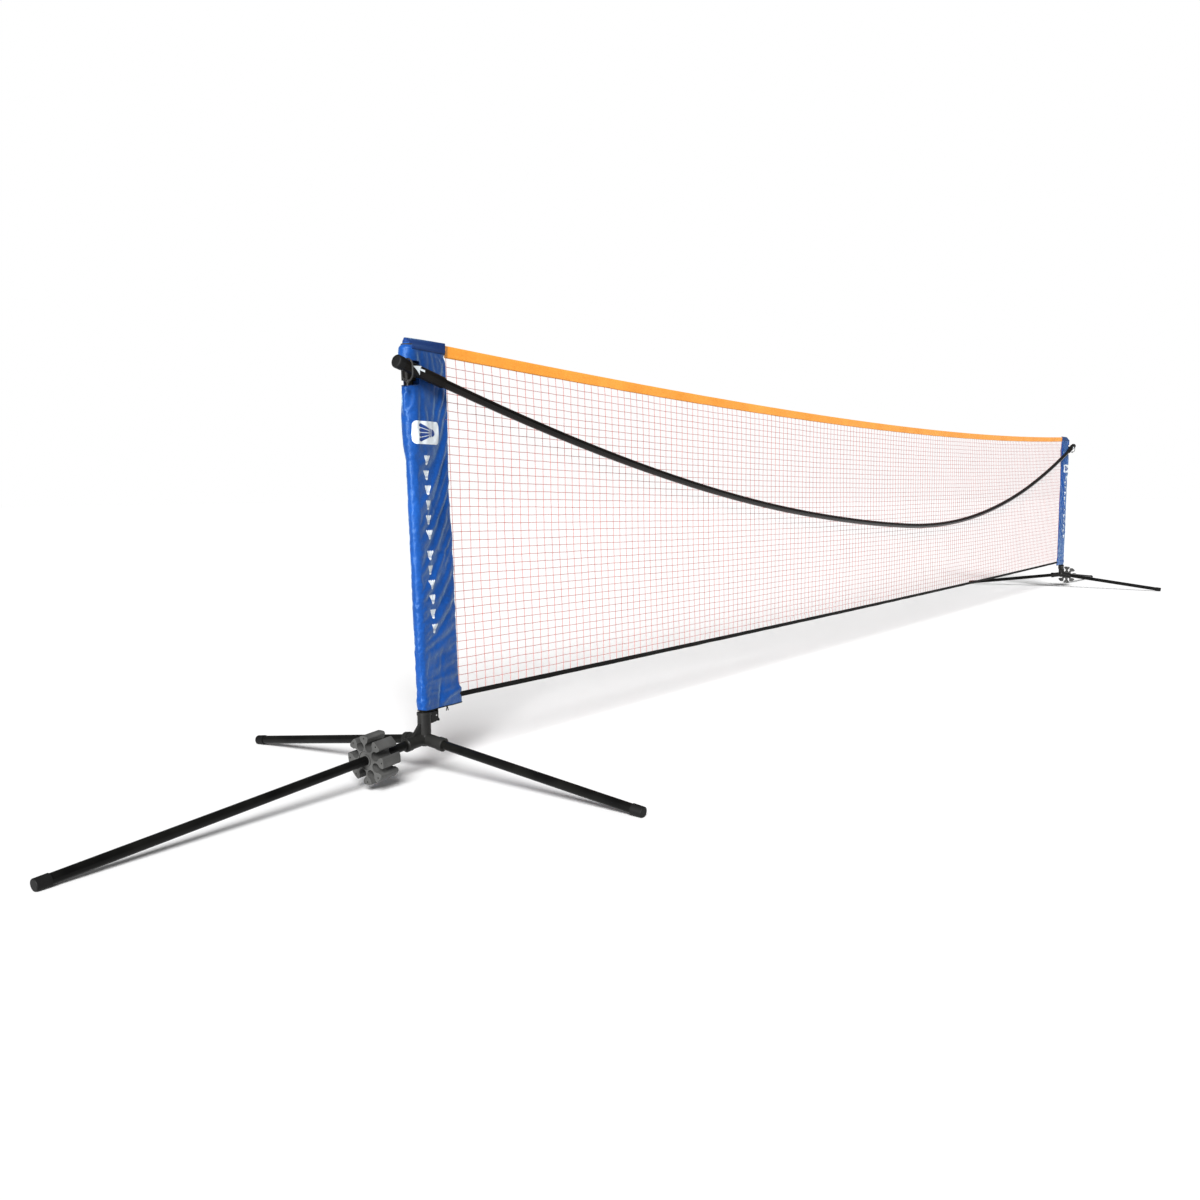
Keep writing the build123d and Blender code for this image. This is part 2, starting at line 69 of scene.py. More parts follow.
# the sleeves' cloth: radii of the pocket up the post, its head band and its window
SLEEVE_COLUMNS = 64
SLEEVE_ROWS = 168
SNUG_R = 0.0114
FULL_R = 0.0134
COLLAR_POCKET_R = 0.0170
HEM_POCKET_R = 0.0085
SHUT_R = 0.0012
HEM_BAND = 0.025
WINDOW_HALF = 0.0215
WINDOW_BEHIND = 0.001
WINDOW_FRONT = 0.0165
MOST_SETTLING = 0.006
SETTLING_SHARE = 0.75
POST_CLEARANCE = 0.0112    # cloth's least distance from the post's axis
CORD_R = 0.0016
CORD_CLEARANCE = 0.0138    # the same beside a cord's ring round the post
COLLAR_CLEARANCE = 0.0156  # the same beside the rod holder's collar
CLOTH_THICKNESS = 0.0005
BAND_THICKNESS = 0.0009
PRINT_THICKNESS = 0.00015
HEM_DEPTH = 0.012          # stitches above the bottom edge
PRINT_LIFT = 0.0002        # a print above the cloth
PRINT_FINEST = 0.0035      # longest edge in a print's mesh
MARK_COUNT = 12
MARK_TOP, MARK_BOTTOM = 0.628, 0.2955
MARK_GAP = 0.40            # extra space halfway down the column of marks, as a share of their pitch
ARROW_OUT = 0.0115         # middle of the holder's arrow, outward from the post's axis

# light, and what the procedural materials share
WHITE = (1.0, 1.0, 1.0)
FLOOR_COLOUR = (0.93, 0.93, 0.93)
WORLD_FILL = 0.16
SUN_STRENGTH = 5.5
SUN_ANGLE = math.radians(23.0)
SUN_FROM = (-0.80, -0.60, 0.66)
SOFTBOX_POWER = 380.0
FLECK_SHARE = 0.35         # fine flecks in a cloth's colour, against slow drift
WAVE_SCALE = 0.314         # the wave texture's scale that makes one wave a metre


# ---------------------------------------------------------------- objects and nodes
def link_object(name, data):
    thing = bpy.data.objects.new(name, data)
    bpy.context.collection.objects.link(thing)
    return thing


def set_inputs(tree, node, values):
    """Set a node's inputs, each to a value or by a link from an output."""
    for name, value in values.items():
        if isinstance(value, bpy.types.NodeSocket):
            tree.links.new(value, node.inputs[name])
        else:
            node.inputs[name].default_value = value
    return node


def add_node(tree, kind, values):
    return set_inputs(tree, tree.nodes.new(kind), values)


# ---------------------------------------------------------------- camera, light and floor
def make_camera():
    """The camera stands beyond the left post, in front of the net, a little below its top."""
    yaw, pitch, roll = math.radians(35.43), math.radians(-5.45), math.radians(-0.44)
    ahead = Vector((math.cos(yaw) * math.cos(pitch), math.sin(yaw) * math.cos(pitch), math.sin(pitch)))
    level_right = Vector((math.sin(yaw), -math.cos(yaw), 0.0))
    level_up = level_right.cross(ahead)
    right = level_right * math.cos(roll) + level_up * math.sin(roll)
    up = level_up * math.cos(roll) - level_right * math.sin(roll)
    data = bpy.data.cameras.new("camera")
    data.sensor_width = 36.0
    data.lens = 33.54
    data.clip_start, data.clip_end = 0.05, 200.0
    camera = link_object("camera", data)
    turn = Matrix((right, up, -ahead)).transposed().to_4x4()
    camera.matrix_world = Matrix.Translation((-4.187, -1.562, 0.561)) @ turn
    bpy.context.scene.camera = camera


def make_light():
    scene = bpy.context.scene
    scene.view_settings.view_transform = "Standard"
    world = bpy.data.worlds.new("studio")
    world.use_nodes = True
    tree = world.node_tree
    fill = set_inputs(tree, tree.nodes["Background"], {"Color": (*WHITE, 1.0), "Strength": WORLD_FILL})
    seen = add_node(tree, "ShaderNodeBackground", {"Color": (*WHITE, 1.0), "Strength": 1.0})
    path = tree.nodes.new("ShaderNodeLightPath")
    mix = add_node(tree, "ShaderNodeMixShader", {
        "Fac": path.outputs["Is Camera Ray"], 1: fill.outputs["Background"], 2: seen.outputs["Background"]})
    set_inputs(tree, tree.nodes["World Output"], {"Surface": mix.outputs["Shader"]})
    scene.world = world
    sun = bpy.data.lights.new("key", "SUN")
    sun.energy = SUN_STRENGTH
    sun.angle = SUN_ANGLE
    turn_light(link_object("key", sun), SUN_FROM)
    make_softbox()


def turn_light(light, shines_from):
    light.rotation_mode = "QUATERNION"
    light.rotation_quaternion = Vector(shines_from).to_track_quat("Z", "Y")


def make_softbox():
    """A panel that lights the object and not the floor."""
    panel = bpy.data.lights.new("softbox", "AREA")
    panel.shape = "RECTANGLE"
    panel.size, panel.size_y = 1.2, 2.6
    panel.energy = SOFTBOX_POWER
    softbox = link_object("softbox", panel)
    softbox.location = (-7.0, -0.6, 1.0)
    turn_light(softbox, (-1.0, -0.12, 0.1))
    softbox.visible_camera = False
    unlit = bpy.data.collections.new("softbox_unlit")
    unlit.objects.link(bpy.data.objects["floor"])
    unlit.collection_objects[0].light_linking.link_state = "EXCLUDE"
    softbox.light_linking.receiver_collection = unlit


def make_floor():
    bpy.ops.mesh.primitive_plane_add(size=120.0, location=(0.0, 0.0, 0.0))
    floor = bpy.context.object
    floor.name = "floor"
    material, tree, shader = new_material("floor")
    set_inputs(tree, shader, {
        "Base Color": (*FLOOR_COLOUR, 1.0), "Roughness": 0.9, "Specular IOR Level": 0.0})
    floor.data.materials.append(material)


# ---------------------------------------------------------------- materials
def new_material(name):
    material = bpy.data.materials.new(name)
    material.use_nodes = True
    tree = material.node_tree
    return material, tree, tree.nodes["Principled BSDF"]


def noise_texture(tree, vector, scale, detail, roughness=0.5):
    return add_node(tree, "ShaderNodeTexNoise", {
        "Vector": vector, "Scale": scale, "Detail": detail, "Roughness": roughness}).outputs["Fac"]


def colour_ramp(tree, factor, *stops):
    """Two stops, each a position and a colour."""
    ramp = add_node(tree, "ShaderNodeValToRGB", {"Fac": factor})
    for element, (position, colour) in zip(ramp.color_ramp.elements, stops):
        element.position = position
        element.color = (*colour, 1.0)
    return ramp.outputs["Color"]


def math_node(tree, operation, *values):
    node = add_node(tree, "ShaderNodeMath", dict(enumerate(values)))
    node.operation = operation
    return node.outputs[0]


def bumped(tree, height, strength, distance, below=None):
    """The normal of a surface with a bump, laid over another bump where there is one."""
    values = {"Height": height, "Strength": strength, "Distance": distance}
    if below is not None:
        values["Normal"] = below
    return add_node(tree, "ShaderNodeBump", values).outputs["Normal"]


def hard_material(name, dark, light, rough, specular, grain, grain_depth, coat=0.0):
    """Moulded or coated surface: mottled colour, uneven gloss and a fine grain."""
    material, tree, shader = new_material(name)
    vector = tree.nodes.new("ShaderNodeTexCoord").outputs["Object"]
    cloud = noise_texture(tree, vector, 18.0, 4.0)
    smear = noise_texture(tree, vector, 60.0, 5.0)
    fine = noise_texture(tree, vector, grain, 2.0)
    gloss = add_node(tree, "ShaderNodeMapRange", {
        "Value": smear, "To Min": rough - 0.07, "To Max": rough + 0.09})
    set_inputs(tree, shader, {
        "Base Color": colour_ramp(tree, cloud, (0.35, dark), (0.68, light)),
        "Roughness": gloss.outputs["Result"], "Specular IOR Level": specular,
        "Coat Weight": coat, "Coat Roughness": 0.12,
        "Normal": bumped(tree, fine, 0.35, grain_depth)})
    return material


def woven_material(name, dark, light, thread, rough, sheen, depth, specular=0.3, tint=WHITE, crinkle=0.0):
    """Woven cloth: crossing threads in the bump, slow colour drift, sheen."""
    material, tree, shader = new_material(name)
    vector = tree.nodes.new("ShaderNodeTexCoord").outputs["Object"]
    drift = noise_texture(tree, vector, 9.0, 4.0)
    fleck = noise_texture(tree, vector, 240.0, 2.0)
    drift = math_node(tree, "MULTIPLY", drift, 1.0 - FLECK_SHARE)
    blend = math_node(tree, "MULTIPLY_ADD", fleck, FLECK_SHARE, drift)
    heights = []
    for direction in ("X", "Z"):
        wave = add_node(tree, "ShaderNodeTexWave", {
            "Vector": vector, "Scale": WAVE_SCALE / thread, "Distortion": 0.6, "Detail Scale": 2.0})
        wave.wave_type = "BANDS"
        wave.bands_direction = direction
        heights.append(wave.outputs["Fac"])
    weave = math_node(tree, "MULTIPLY", *heights)
    below = None
    if crinkle:
        below = bumped(tree, noise_texture(tree, vector, 42.0, 3.0, 0.6), 0.9, crinkle)
    set_inputs(tree, shader, {
        "Base Color": colour_ramp(tree, blend, (0.3, dark), (0.72, light)),
        "Roughness": rough, "Specular IOR Level": specular, "Specular Tint": (*tint, 1.0),
        "Sheen Weight": sheen, "Sheen Roughness": 0.35, "Sheen Tint": (*tint, 1.0),
        "Normal": bumped(tree, weave, 0.5, depth, below)})
    return material


# Each finish: material name, darkest and lightest colour, roughness, specular, grain, grain depth, coat.
HARD_FINISHES = {
    "tube": ("tube_black", (0.002, 0.002, 0.002), (0.005, 0.005, 0.0045), 0.30, 0.09, 900.0, 0.00005),
    "hub": ("hub_plastic", (0.007, 0.007, 0.007), (0.014, 0.014, 0.013), 0.40, 0.15, 2200.0, 0.00008),
    "holder": ("holder_plastic", (0.003, 0.0025, 0.002), (0.007, 0.006, 0.005), 0.42, 0.09, 2200.0, 0.00006),
    "rubber": ("cap_rubber", (0.003, 0.003, 0.003), (0.007, 0.007, 0.007), 0.55, 0.11, 1500.0, 0.00008),
    "clip": ("clip_grey", (0.036, 0.036, 0.035), (0.060, 0.060, 0.058), 0.46, 0.25, 1800.0, 0.00008),
    "steel": ("pin_steel", (0.40, 0.40, 0.41), (0.60, 0.60, 0.61), 0.30, 0.5, 1200.0, 0.00003),
    "rod": ("rod_black", (0.002, 0.0018, 0.0015), (0.005, 0.004, 0.0035), 0.24, 0.10, 500.0, 0.00004, 0.08),
}

# Each finish: material name, darkest and lightest colour, thread, roughness, sheen, depth of the weave,
# and where they aren't the usual ones, specular, tint and depth of the crinkle.
WOVEN_FINISHES = {
    "cord": ("cord_black", (0.008, 0.008, 0.008), (0.022, 0.022, 0.022), 0.0007, 0.7, 0.15, 0.0002),
    "sleeve": ("sleeve_blue", (0.002, 0.024, 0.120), (0.006, 0.056, 0.250), 0.0006, 0.34, 0.55, 0.00010,
               0.26, (0.50, 0.80, 1.0), 0.0012),
    "sleeve_hem": ("sleeve_band_blue", (0.004, 0.015, 0.08), (0.010, 0.030, 0.13), 0.0006, 0.5, 0.3,
                   0.00012, 0.15, (0.40, 0.72, 1.0), 0.0006),
    "sleeve_thread": ("sleeve_thread", (0.008, 0.03, 0.18), (0.02, 0.06, 0.30), 0.0004, 0.5, 0.1, 0.0001),
    "orange": ("tape_orange", (0.60, 0.22, 0.024), (0.78, 0.31, 0.050), 0.0008, 0.6, 0.25, 0.00015,
               0.2, (1.0, 0.72, 0.45)),
    "orange_thread": ("thread_orange", (0.80, 0.22, 0.03), (1.0, 0.42, 0.10), 0.0004, 0.5, 0.1, 0.0001),
    "black_tape": ("tape_black", (0.002, 0.002, 0.002), (0.008, 0.0075, 0.007), 0.0008, 0.65, 0.02,
                   0.00015, 0.06),
    "strand": ("net_red", (0.30, 0.080, 0.070), (0.46, 0.145, 0.125), 0.0003, 0.55, 0.15, 0.00008),
    "print": ("print_white", (0.47, 0.51, 0.54), (0.57, 0.61, 0.63), 0.0006, 0.5, 0.05, 0.0001),
    "print_blue": ("print_blue", (0.006, 0.024, 0.12), (0.012, 0.05, 0.22), 0.0006, 0.45, 0.1, 0.0001),
}


def make_materials():
    materials = {finish: hard_material(*values) for finish, values in HARD_FINISHES.items()}
    materials.update({finish: woven_material(*values) for finish, values in WOVEN_FINISHES.items()})
    return materials


def finish_cad_nodes(materials):
    """CAD nodes whose shape stays get a finished material."""
    finishes = {
        "base_hub": "hub", "front_leg": "tube", "back_leg": "tube", "outer_leg": "tube",
        "front_leg_cap": "rubber", "back_leg_cap": "rubber", "outer_leg_cap": "rubber",
        "release_lever": "hub", "lever_pin": "steel", "storage_clip": "clip", "post": "tube",
        "post_cap": "hub", "rod_holder": "holder", "rod_end_cap": "rubber", "keeper_loop": "cord",
    }
    chosen = {f"{side}_{part}": finish for side in SIDES for part, finish in finishes.items()}
    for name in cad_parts:
        if name.startswith("rod_section"):
            chosen[name] = "rod"
        elif name.startswith("rod_spigot"):
            chosen[name] = "steel"
        elif name.endswith("_cord"):
            chosen[name] = "cord"
    for name, finish in chosen.items():
        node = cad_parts[name]
        for index in range(len(node.material_slots)):
            node.material_slots[index].link = "OBJECT"
            node.material_slots[index].material = materials[finish]
        if not node.material_slots:
            node.data.materials.append(materials[finish])


# ---------------------------------------------------------------- mesh helpers
def new_piece(name, vertices, faces, material):
    mesh = bpy.data.meshes.new(name)
    mesh.from_pydata([tuple(v) for v in vertices], [], faces)
    mesh.validate()
    mesh.polygons.foreach_set("use_smooth", [True] * len(mesh.polygons))
    return add_piece(name, mesh, material)


def add_piece(name, mesh, material):
    """A visible piece that moves with the net."""
    mesh.materials.append(material)
    piece = link_object(name, mesh)
    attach(piece, "net_assembly")
    return piece


def ring_quads(rings, count, first=0):
    """Quads between neighbouring rings, each a closed loop of count vertices."""
    quads = []
    for ring in range(rings - 1):
        low, high = first + ring * count, first + (ring + 1) * count
        for index in range(count):
            turn = (index + 1) % count
            quads.append((low + index, low + turn, high + turn, high + index))
    return quads


def add_tube(vertices, faces, points, radius, sides):
    """A closed tube through points, its section kept upright, added to lists of vertices and faces."""
    first = len(vertices)
    for index, point in enumerate(points):
        before = points[max(index - 1, 0)]
        after = points[min(index + 1, len(points) - 1)]
        along = (after - before).normalized()
        across = along.cross(Vector((0.0, 1.0, 0.0))).normalized()
        out = across.cross(along)
        for side in range(sides):
            angle = 2.0 * math.pi * side / sides
            vertices.append(point + (across * math.cos(angle) + out * math.sin(angle)) * radius)
    faces.extend(ring_quads(len(points), sides, first))
    faces.append(tuple(first + side for side in reversed(range(sides))))
    last = first + (len(points) - 1) * sides
    faces.append(tuple(last + side for side in range(sides)))


def add_stitch(vertices, faces, start, end, sink, radius):
    """A round-ended dash of thread, its ends sunk into the cloth."""
    ends = (end - start) * 0.18
    add_tube(vertices, faces, [start + sink, start + ends, end - ends, end + sink], radius, 5)


# ---------------------------------------------------------------- the net
def sleeve_edge_x(side, height):
    """X of the sewn edge at a height: the slab's box is widest at its top."""
    high = box_of("net_mesh")[1]
    return side * (high.x - (high.z - height) * math.tan(POST_LEAN))


def sagging(x, half_width, end_height, sag):
    """Height at x of a line that sags between its two ends."""
    return end_height - sag * (1.0 - (x / half_width) ** 2)


def net_point(column_share, row_share):
    """A place in the net, from its left (0) to right (1) and bottom (0) to top (1)."""
    low, high = box_of("net_mesh")
    bottom_end = low.z + FOOT_SAG
    rough_height = bottom_end + (high.z - bottom_end) * row_share
    half = sleeve_edge_x(1, rough_height)
    x = -half + 2.0 * half * column_share
    bottom = sagging(x, half, bottom_end, FOOT_SAG)
    top = sagging(x, half, high.z, TOP_SAG)
    return Vector((x, 0.0, bottom + (top - bottom) * row_share))


def make_net(materials):
    """Strands down and across with a knot at each crossing, drawn as real thread."""
    low, high = box_of("net_mesh")
    columns = round((high.x - low.x) / MESH_CELL_WIDTH)
    chance = random.Random(7)
    grid = []
    for column in range(columns + 1):
        line = []
        for row in range(MESH_ROWS + 1):
            place = net_point(column / columns, row / MESH_ROWS)
            on_edge = row in (0, MESH_ROWS) or column in (0, columns)
            loose = 0.2 if on_edge else 1.0
            wander = noise.noise_vector(place * 3.1) * 0.0035 * loose
            free_x = 0.0 if column in (0, columns) else 1.0
            free_z = 0.0 if row in (0, MESH_ROWS) else 1.0
            place.x += (chance.uniform(-0.0006, 0.0006) + wander.x) * free_x
            place.z += (chance.uniform(-0.0005, 0.0005) + wander.z * 0.5) * free_z
            place.y += wander.y * 0.8
            line.append(place)
        grid.append(line)
    down, down_faces = [], []
    lift = Vector((0.0, 0.0, TAPE_TUCK))
    for line in grid:
        add_tube(down, down_faces, [line[0] - lift] + line + [line[-1] + lift], STRAND_R, 6)
    across, across_faces = [], []
    tuck = Vector((SEAM_TUCK, 0.0, 0.0))
    for row in range(1, MESH_ROWS):
        places = [line[row] for line in grid]
        add_tube(across, across_faces, [places[0] - tuck] + places + [places[-1] + tuck], STRAND_R, 6)
    knots, knot_faces = [], []
    template = bmesh.new()
    bmesh.ops.create_icosphere(template, subdivisions=1, radius=KNOT_R)
    shape = [vertex.co.copy() for vertex in template.verts]
    shape_faces = [tuple(vertex.index for vertex in face.verts) for face in template.faces]
    template.free()
    for line in grid[1:-1]:
        for place in line[1:-1]:
            first = len(knots)
            turn = Matrix.Rotation(chance.uniform(0.0, math.pi), 3, "Y")
            size = chance.uniform(0.85, 1.15)
            for corner in shape:
                flat = Vector((corner.x * 1.15, corner.y * 0.85, corner.z))
                knots.append(place + turn @ flat * size)
            knot_faces.extend(tuple(first + index for index in face) for face in shape_faces)
    pieces = [
        new_piece("net_strands_down", down, down_faces, materials["strand"]),
        new_piece("net_strands_across", across, across_faces, materials["strand"]),
        new_piece("net_knots", knots, knot_faces, materials["strand"]),
    ]
    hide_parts("net_mesh")


# ---------------------------------------------------------------- tapes
def tape_profile(height, thick_top, thick_bottom, cloth):
    """A band folded over its cord and sewn below it, as (y, z) pairs round the cloth's section."""
    half_top, half_bottom = thick_top / 2.0, thick_bottom / 2.0
    top_centre = height / 2.0 - half_top

    def layer(inset):
        radius = half_top - inset
        foot = half_bottom - inset
        down = [(share, radius + (foot - radius) * share) for share in (1.0, 0.86, 0.72, 0.48, 0.24)]
        left = [(-y, top_centre - (height - half_top) * share) for share, y in down]
        crown = [
            (-radius * math.cos(math.pi * step / 8.0), top_centre + radius * math.sin(math.pi * step / 8.0))
            for step in range(9)
        ]
        return left + crown + [(-y, z) for y, z in reversed(left)]

    return layer(0.0) + layer(cloth)[::-1]


def make_tape(name, node, height, sag, thick_top, thick_bottom, cloth, material, seed):
    """The tape, sagging from sleeve to sleeve, with the small waves of a sewn band."""
    end_height = box_of(node)[1].z - height / 2.0
    half = sleeve_edge_x(1, end_height) + 0.0015
    steps = 640
    profile = tape_profile(height, thick_top, thick_bottom, cloth)
    vertices = []
    for step in range(steps + 1):
        x = -half + 2.0 * half * step / steps
        centre = sagging(x, half, end_height, sag)
        slope = 2.0 * sag * x / half ** 2
        for y, z in profile:
            ripple = noise.noise(Vector((x * 22.0, z * 40.0, seed))) * 0.0007
            ripple += noise.noise(Vector((x * 70.0, z * 90.0, seed + 5.0))) * 0.0003
            edge_wave = noise.noise(Vector((x * 12.0, 3.0, seed))) * 0.0007 * (0.5 - z / height)
            vertices.append(Vector((x - slope * z, y + ripple, centre + z + edge_wave)))
    count = len(profile)
    faces = ring_quads(steps + 1, count)
    faces.append(tuple(range(count)))
    faces.append(tuple(steps * count + index for index in reversed(range(count))))
    piece = new_piece(name, vertices, faces, material)
    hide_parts(node)
    return end_height, half


def make_stitches(name, end_height, half, sag, drop, reach, pitch, material):
    """A run of thread along a tape, front and back, each stitch a short round-ended dash."""
    vertices, faces = [], []
    length, radius = pitch * 0.62, 0.00035
    count = int(2.0 * half / pitch)
    for index in range(count):
        x = -half + (index + 0.5) * pitch
        z = sagging(x, half, end_height, sag) - drop
        slope = 2.0 * sag * x / half ** 2
        for front in (-1, 1):
            start = Vector((x - length / 2.0, front * reach, z - slope * length / 2.0))
            end = Vector((x + length / 2.0, front * reach, z + slope * length / 2.0))
            dip = Vector((0.0, -front * radius * 1.2, 0.0))
            add_stitch(vertices, faces, start, end, dip, radius)
    piece = new_piece(name, vertices, faces, material)


def make_tapes(materials):
    end_height, half = make_tape(
        "top_tape_cloth", "top_tape", TAPE_HEIGHT, TOP_SAG, 0.0052, 0.0034, 0.0007,
        materials["orange"], 1.0)
    make_stitches(
        "top_tape_stitches", end_height, half, TOP_SAG, TAPE_HEIGHT / 2.0 - 0.0035, 0.0013, 0.0052,
        materials["orange_thread"])
    end_height, half = make_tape(
        "bottom_tape_cloth", "bottom_tape", FOOT_TAPE_HEIGHT, FOOT_SAG, 0.0046, 0.0036, 0.0006,
        materials["black_tape"], 9.0)
    make_stitches(
        "bottom_tape_stitches", end_height, half, FOOT_SAG, -0.001, 0.0021, 0.0052,
        materials["black_tape"])


# ---------------------------------------------------------------- the sleeves' cloth
def axis_x(side, height):
    """X of a post's axis at a height, found from the sewn edge beside it."""
    return sleeve_edge_x(side, height) + side * (SEAM_GAP + SLEEVE_REACH)


def from_axis(side, place):
    """A place's distance from its post's axis, towards the net."""
    return (axis_x(side, place.z) - place.x) * side


def sleeve_range():
    low, high = box_of("left_sleeve")
    return low.z, high.z


def collar_height():
    """Middle of the rod holder's collar, which the sleeve's window is cut round."""
    low, high = box_of("left_rod_holder")
    return (low.z + high.z) / 2.0


def ease(value, low, high):
    """0 below low, 1 above high, smooth between."""
    share = min(1.0, max(0.0, (value - low) / (high - low)))
    return share * share * (3.0 - 2.0 * share)


def pocket_radius(height):
    """The pocket is slim above the base, fuller up the post, wide round the collar, and shut at the top."""
    top = sleeve_range()[1]
    radius = SNUG_R + (FULL_R - SNUG_R) * ease(height, 0.26, 0.34)
    radius += (COLLAR_POCKET_R - FULL_R) * ease(height, collar_height() - 0.17, collar_height() - 0.12)
    closing = 0.010
    radius += (HEM_POCKET_R - COLLAR_POCKET_R) * ease(height, top - 0.018, top - closing)
    if height > top - closing:
        share = (height - (top - closing)) / closing
        radius = SHUT_R + (radius - SHUT_R) * math.sqrt(max(0.0, 1.0 - share * share))
    return radius


def pocket_back(height):
    """How far the pocket reaches beyond the post's axis."""
    top = sleeve_range()[1]
    return max(pocket_radius(height), 0.0075 * ease(height, top - 0.02, top - 0.01))


def sewn_reach(height):
    """The sewn edge wanders a few millimetres in, and is nipped below the tape."""
    def pinch(depth, middle, spread):
        return depth * math.exp(-(((height - middle) / spread) ** 2))

    nip = pinch(0.006, sleeve_range()[1] - HEM_BAND - 0.003, 0.006)
    waist = pinch(0.0065, 0.58, 0.10) + pinch(0.0035, 0.34, 0.08)
    wander = noise.noise(Vector((height * 26.0, 4.0, 2.0))) * 0.0016
    return SLEEVE_REACH - (nip + waist - wander) * ease(height, 0.16, 0.2)


def sleeve_section(radius, back, edge_radius, reach, count):
    """Points round a closed teardrop, evenly spaced from the sewn edge along the front and back again."""
    centre = radius - back
    reach = reach - edge_radius - centre
    tilt = math.asin((radius - edge_radius) / reach)
    straight = math.sqrt(reach ** 2 - (radius - edge_radius) ** 2)
    edge_arc, post_arc = edge_radius * (math.pi / 2.0 - tilt), radius * (math.pi / 2.0 + tilt)
    half = edge_arc + straight + post_arc
    edge_start = reach + edge_radius * math.sin(tilt)
    points = []
    for index in range(count + 1):
        along = 2.0 * half * index / count
        returning = along > half
        along = 2.0 * half - along if returning else along
        if along < edge_arc:
            angle = along / edge_radius
            s, y = reach + edge_radius * math.cos(angle), edge_radius * math.sin(angle)
        elif along < edge_arc + straight:
            share = (along - edge_arc) / straight
            s = edge_start + (radius * math.sin(tilt) - edge_start) * share
            y = (edge_radius + (radius - edge_radius) * share) * math.cos(tilt)
        else:
            angle = math.pi / 2.0 - tilt + (along - edge_arc - straight) / radius
            s, y = radius * math.cos(angle), radius * math.sin(angle)
        points.append((s + centre, y if returning else -y))
    return points


def sleeve_grid(side):
    """Rows of points from the bottom hem to the top, each a loop that starts at the sewn edge."""
    low, high = sleeve_range()
    rows = []
    for row in range(SLEEVE_ROWS + 1):
        height = low + (high - low) * row / SLEEVE_ROWS
        section = sleeve_section(
            pocket_radius(height), pocket_back(height), SHUT_R, sewn_reach(height), SLEEVE_COLUMNS)
        middle = axis_x(side, height)
        rows.append([Vector((middle - side * s, y, height)) for s, y in section[:SLEEVE_COLUMNS]])
    return rows


def in_window(side, place):
    """Whether a place lies in the opening that the rod holder passes through."""
    s = from_axis(side, place)
    if abs(place.z - collar_height()) > WINDOW_HALF:
        return False
    return s < WINDOW_BEHIND or (s < WINDOW_FRONT and place.y < 0.0)


def sleeve_faces(side, rows):
    """Quads of the sleeve's cloth, without those in the window; the top is shut by joining front to back."""
    loop = SLEEVE_COLUMNS
    places = [place for line in rows for place in line]
    faces = [
        quad for quad in ring_quads(SLEEVE_ROWS + 1, loop)
        if not in_window(side, (places[quad[0]] + places[quad[2]]) / 2.0)
    ]
    top = SLEEVE_ROWS * loop
    faces.append((top, top + 1, top + loop - 1))
    for column in range(1, loop // 2 - 1):
        faces.append((top + column, top + column + 1, top + loop - column - 1, top + loop - column))
    faces.append((top + loop // 2 - 1, top + loop // 2, top + loop // 2 + 1))
    return faces


def post_collider(side):
    """The post, its cap and the holder's collar, as something for the cloth to lie against."""
    low = sleeve_range()[0]
    cap_top = box_of("left_post_cap")[1].z
    middle = collar_height()
    post, collar, cap, cap_edge = 0.0090, 0.0136, 0.0110, 0.0100
    profile = [
        (low - 0.03, post), (middle - 0.016, post), (middle - 0.015, collar), (middle + 0.015, collar),
        (middle + 0.016, post), (cap_top - 0.004, post), (cap_top - 0.004, cap), (cap_top, cap_edge),
    ]
    vertices, sides = [], 28
    for height, radius in profile:
        for index in range(sides):
            angle = 2.0 * math.pi * index / sides
            x = axis_x(side, height) + radius * math.cos(angle)
            vertices.append((x, radius * math.sin(angle), height))
    faces = ring_quads(len(profile), sides)
    faces.append(tuple((len(profile) - 1) * sides + index for index in range(sides)))
    mesh = bpy.data.meshes.new("collider")
    mesh.from_pydata(vertices, [], faces)
    collider = link_object("collider", mesh)
    collider.modifiers.new("Collision", "COLLISION")
    collider.collision.thickness_outer = 0.0008
    collider.collision.cloth_friction = 4.0
    return collider


CLOTH_FRAMES = 24
CLOTH_GRAVITY = 0.6
CLOTH_SETTINGS = {
    "quality": 6, "mass": 0.12, "tension_stiffness": 22.0, "compression_stiffness": 22.0,
    "shear_stiffness": 8.0, "bending_stiffness": 0.03, "tension_damping": 12.0,
    "compression_damping": 12.0, "shear_damping": 10.0, "air_damping": 4.0,
    "vertex_group_mass": "held", "pin_stiffness": 1.0, "shrink_min": -0.03,
}


